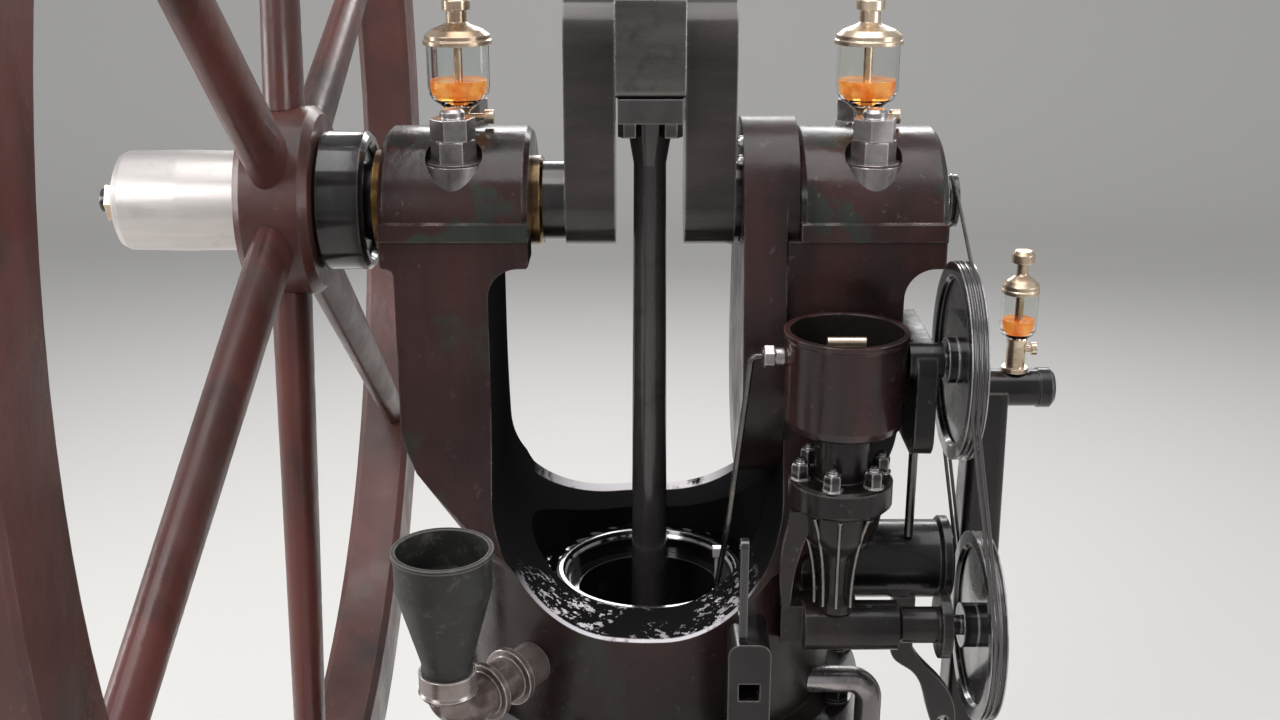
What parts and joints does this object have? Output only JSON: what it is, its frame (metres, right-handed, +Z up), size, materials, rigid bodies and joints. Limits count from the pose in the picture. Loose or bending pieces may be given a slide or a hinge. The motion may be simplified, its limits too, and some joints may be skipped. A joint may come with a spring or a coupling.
{
  "type": "vertical stationary engine with overhead crankshaft",
  "caption": "Old vertical engine: open cylinder below, crankshaft on two arms above, spoked flywheel and belt drum, drip oilers, belt-driven oil cup and a water funnel.",
  "frame": {"origin": "centre of the bed plate's underside, on the floor under the cylinder's axis", "axes": "+Z up along the cylinder, +X along the crankshaft away from the flywheel, -Y towards the front with the oil cup and funnel"},
  "size_m": [0.991, 1.5598, 2.03],
  "materials": {
    "iron_paint": "worn maroon-brown paint with grey-green bare patches, oily",
    "bare_iron": "bare dark casting",
    "oily_iron": "black iron wet with oil",
    "dark_iron": "dark oily casting with worn edges",
    "black_steel": "black, polished on the edges",
    "bright_steel": "worn bright steel with an oil film",
    "brass": "old polished brass",
    "glass": "clear sight glass",
    "amber_oil": "clear amber oil",
    "grey_paint": "blue-grey paint, dusty",
    "belt": "dark round belt, oily"
  },
  "bodies": {
    "engine": {"bed_plate": "iron_paint", "pedestal": "iron_paint", "cylinder_head": "bare_iron", "water_jacket": "iron_paint", "cylinder_liner": "oily_iron", "engine_frame": "iron_paint", "left_bearing_cap": "iron_paint", "right_bearing_cap": "iron_paint", "bearing_brasses": "brass", "cap_studs": "bright_steel", "left_oiler": "brass", "right_oiler": "brass", "small_oiler": "brass", "oiler_glasses": "glass", "oiler_oil": "amber_oil", "gear_guard": "iron_paint", "oil_cup": "iron_paint", "cup_tap": "brass", "cup_neck": "iron_paint", "feed_column": "iron_paint", "side_shaft_tube": "iron_paint", "sheave_bracket": "dark_iron", "valve_chest": "dark_iron", "push_rod": "bright_steel", "trip_lever": "dark_iron", "oil_pipe": "bright_steel", "guide_block": "dark_iron", "link_bar": "oily_iron", "funnel": "grey_paint", "funnel_elbow": "dark_iron", "water_outlet": "dark_iron", "outboard_bearing": "dark_iron", "round_belts": "belt"},
    "crank": {"crankshaft": "bright_steel", "flywheel_hub": "iron_paint", "flywheel_spokes": "iron_paint", "flywheel_rim": "iron_paint", "hub_collar": "black_steel", "belt_drum": "bright_steel", "drum_nut": "brass", "crank_sheave": "dark_iron"},
    "piston_group": {"piston": "oily_iron", "gudgeon_pin": "bright_steel", "connecting_rod": "black_steel", "big_end_block": "bright_steel", "big_end_brasses": "brass", "big_end_cap": "bright_steel", "big_end_bolts": "bright_steel", "crank_pin": "bright_steel"},
    "upper_spindle": {"upper_sheave": "dark_iron"},
    "lower_spindle": {"lower_sheave": "dark_iron"}
  },
  "joints": [
    {"name": "crank_turn", "type": "hinge", "parent": "engine", "child": "crank", "pos_m": [0, 0, 1.25], "axis": [1, 0, 0], "range_deg": [0, 180]},
    {"name": "piston_stroke", "type": "slide", "parent": "engine", "child": "piston_group", "axis": [0, 0, 1], "range_m": [-0.32, 0]},
    {"name": "upper_sheave_turn", "type": "hinge", "parent": "engine", "child": "upper_spindle", "pos_m": [0.289, -0.165, 1.133], "axis": [1, 0, 0], "range_deg": [0, 50.59]},
    {"name": "lower_sheave_turn", "type": "hinge", "parent": "engine", "child": "lower_spindle", "pos_m": [0.3265, -0.165, 0.856], "axis": [1, 0, 0], "range_deg": [0, 50.59]}
  ],
  "couplings": [
    {"joint": "piston_stroke", "follows": "crank_turn", "m_per_rad": -0.10186},
    {"joint": "upper_sheave_turn", "follows": "crank_turn", "ratio": 0.28105},
    {"joint": "lower_sheave_turn", "follows": "crank_turn", "ratio": 0.28105}
  ]
}
